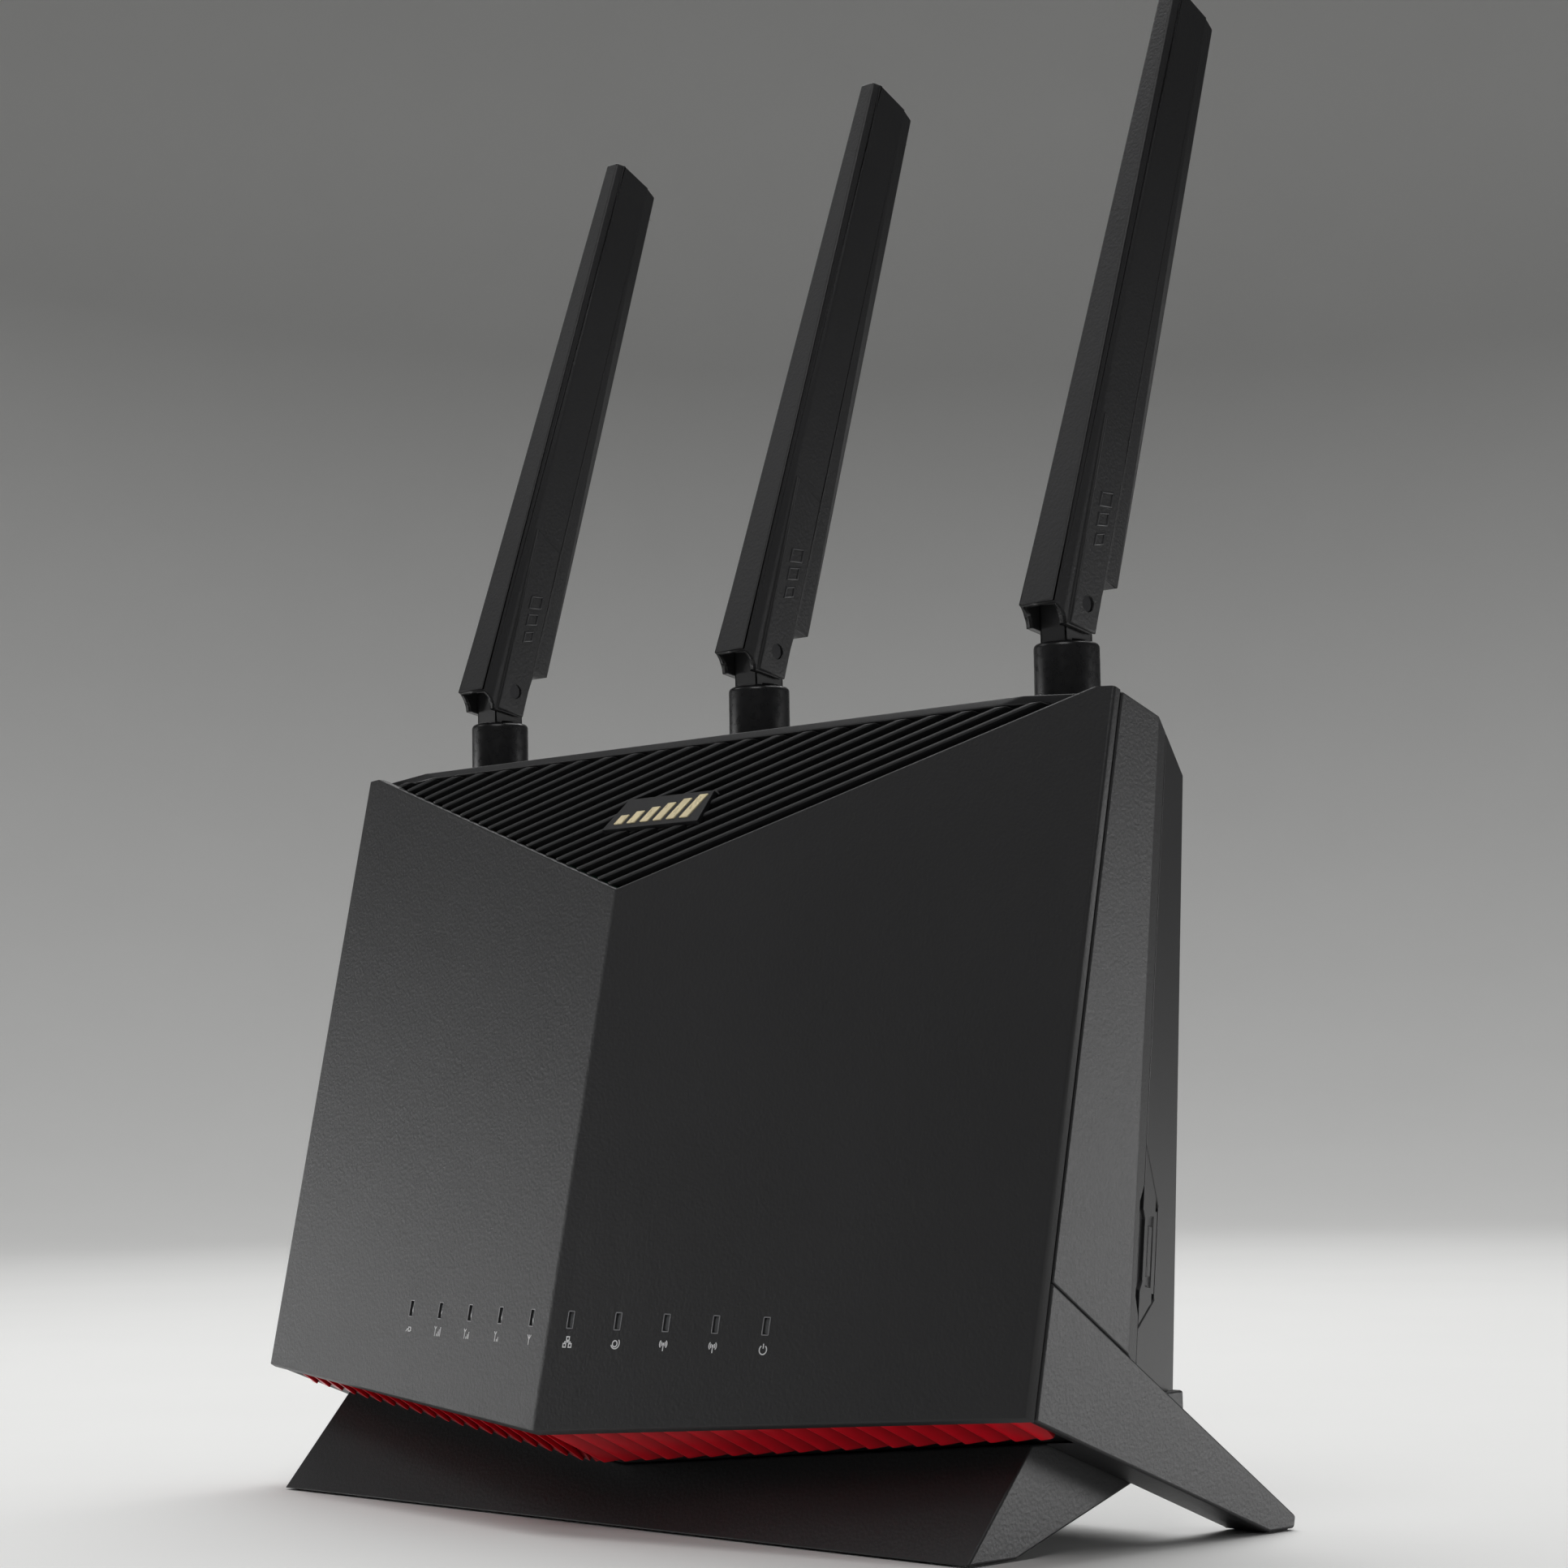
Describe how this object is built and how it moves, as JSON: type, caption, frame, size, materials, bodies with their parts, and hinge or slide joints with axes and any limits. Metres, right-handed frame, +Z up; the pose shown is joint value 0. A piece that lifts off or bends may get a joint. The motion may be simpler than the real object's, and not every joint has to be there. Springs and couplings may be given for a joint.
{
  "type": "wireless router",
  "caption": "Upright desktop wireless router: faceted wedge housing on a stand with legs, swivelling and tilting antennas, rear network sockets, push buttons and a hinged SIM card door.",
  "frame": {"origin": "on the table, below the middle of the box around the whole object", "axes": "+X to the right seen from the front, +Y to the back where the sockets are, +Z up"},
  "size_m": [0.242, 0.1208, 0.3315],
  "materials": {
    "grained_black": "matte, fine leather-like grain",
    "satin_black": "satin, fine moulded texture",
    "band_red": "satin gloss",
    "badge_gold": "satin gold foil",
    "pad_rubber": "matte",
    "socket_shield": "tinned sheet",
    "circuit_board": "solder resist over laminate",
    "chip_black": "moulded package",
    "thermal_pad": "soft pad",
    "sink_aluminium": "mill finish",
    "lead_jacket": "smooth jacket",
    "led_lens": "clear lens",
    "light_guide": "polished, milky clear",
    "ribbon_grey": "flat cable jacket",
    "jack_black": "moulded",
    "button_black": "polished",
    "button_red": "polished",
    "screw_steel": "zinc plated",
    "pin_black": "black oxide",
    "socket_brass": "gold plated"
  },
  "bodies": {
    "housing": {"front_cover": "grained_black", "top_grille": "satin_black", "badge_plate": "satin_black", "badge_mark": "badge_gold", "side_panel_left": "grained_black", "side_panel_right": "grained_black", "leg_left": "grained_black", "leg_right": "grained_black", "underside_trim": "band_red", "base_stand": "grained_black", "rubber_feet": "pad_rubber", "rear_cover": "satin_black", "sim_socket": "socket_shield", "main_board": "circuit_board", "main_chips": "chip_black", "thermal_pads": "thermal_pad", "heatsink": "sink_aluminium", "rf_shields": "socket_shield", "lte_module": "socket_shield", "lte_antennas": "circuit_board", "lte_leads": "lead_jacket", "led_board": "circuit_board", "status_leds": "led_lens", "light_guides": "light_guide", "led_ribbon": "ribbon_grey", "wan_jack": "socket_shield", "lan_jacks": "socket_shield", "usb_port": "socket_shield", "dc_jack": "jack_black", "button_switches": "chip_black", "housing_screws": "screw_steel", "leg_screws": "screw_steel", "antenna_sockets": "socket_brass", "antenna_leads": "lead_jacket"},
    "antenna_left_base": {"collar_left": "satin_black", "knuckle_left": "satin_black"},
    "antenna_left_blade": {"blade_left": "grained_black", "blade_cover_left": "grained_black", "radiator_left": "circuit_board", "pin_left": "pin_black"},
    "antenna_middle_base": {"collar_middle": "satin_black", "knuckle_middle": "satin_black"},
    "antenna_middle_blade": {"blade_middle": "grained_black", "blade_cover_middle": "grained_black", "radiator_middle": "circuit_board", "pin_middle": "pin_black"},
    "antenna_right_base": {"collar_right": "satin_black", "knuckle_right": "satin_black"},
    "antenna_right_blade": {"blade_right": "grained_black", "blade_cover_right": "grained_black", "radiator_right": "circuit_board", "pin_right": "pin_black"},
    "power_button": {"power_button": "button_black"},
    "wifi_button": {"wifi_button": "button_black"},
    "wps_button": {"wps_button": "button_black"},
    "reset_button": {"reset_button": "button_red"},
    "sim_door": {"sim_door": "satin_black"}
  },
  "joints": [
    {"name": "left_swivel", "type": "hinge", "parent": "housing", "child": "antenna_left_base", "pos_m": [-0.0926, 0.00871, 0.185], "axis": [0, 0, 1], "range_deg": [-180, 180]},
    {"name": "left_tilt", "type": "hinge", "parent": "antenna_left_base", "child": "antenna_left_blade", "pos_m": [-0.0926, 0.00871, 0.1902], "axis": [1, 0, 0], "range_deg": [-72.5, 17.5]},
    {"name": "middle_swivel", "type": "hinge", "parent": "housing", "child": "antenna_middle_base", "pos_m": [0, 0.00871, 0.185], "axis": [0, 0, 1], "range_deg": [-180, 180]},
    {"name": "middle_tilt", "type": "hinge", "parent": "antenna_middle_base", "child": "antenna_middle_blade", "pos_m": [0, 0.00871, 0.1902], "axis": [1, 0, 0], "range_deg": [-72.5, 17.5]},
    {"name": "right_swivel", "type": "hinge", "parent": "housing", "child": "antenna_right_base", "pos_m": [0.0926, 0.00871, 0.185], "axis": [0, 0, 1], "range_deg": [-180, 180]},
    {"name": "right_tilt", "type": "hinge", "parent": "antenna_right_base", "child": "antenna_right_blade", "pos_m": [0.0926, 0.00871, 0.1902], "axis": [1, 0, 0], "range_deg": [-72.5, 17.5]},
    {"name": "power_press", "type": "slide", "parent": "housing", "child": "power_button", "axis": [0, -1, 0], "range_m": [0, 0.0015], "stiffness_N_per_m": 800, "springref_m": -0.0005},
    {"name": "wifi_press", "type": "slide", "parent": "housing", "child": "wifi_button", "axis": [0, -1, 0], "range_m": [0, 0.001], "stiffness_N_per_m": 800, "springref_m": -0.0005},
    {"name": "wps_press", "type": "slide", "parent": "housing", "child": "wps_button", "axis": [0, -1, 0], "range_m": [0, 0.001], "stiffness_N_per_m": 800, "springref_m": -0.0005},
    {"name": "reset_press", "type": "slide", "parent": "housing", "child": "reset_button", "axis": [0, -1, 0], "range_m": [0, 0.001], "stiffness_N_per_m": 800, "springref_m": -0.0005},
    {"name": "sim_door_hinge", "type": "hinge", "parent": "housing", "child": "sim_door", "pos_m": [0.11252, 0.00718, 0.059], "axis": [0, 0.1137, 0.9935], "range_deg": [0, 95]}
  ]
}
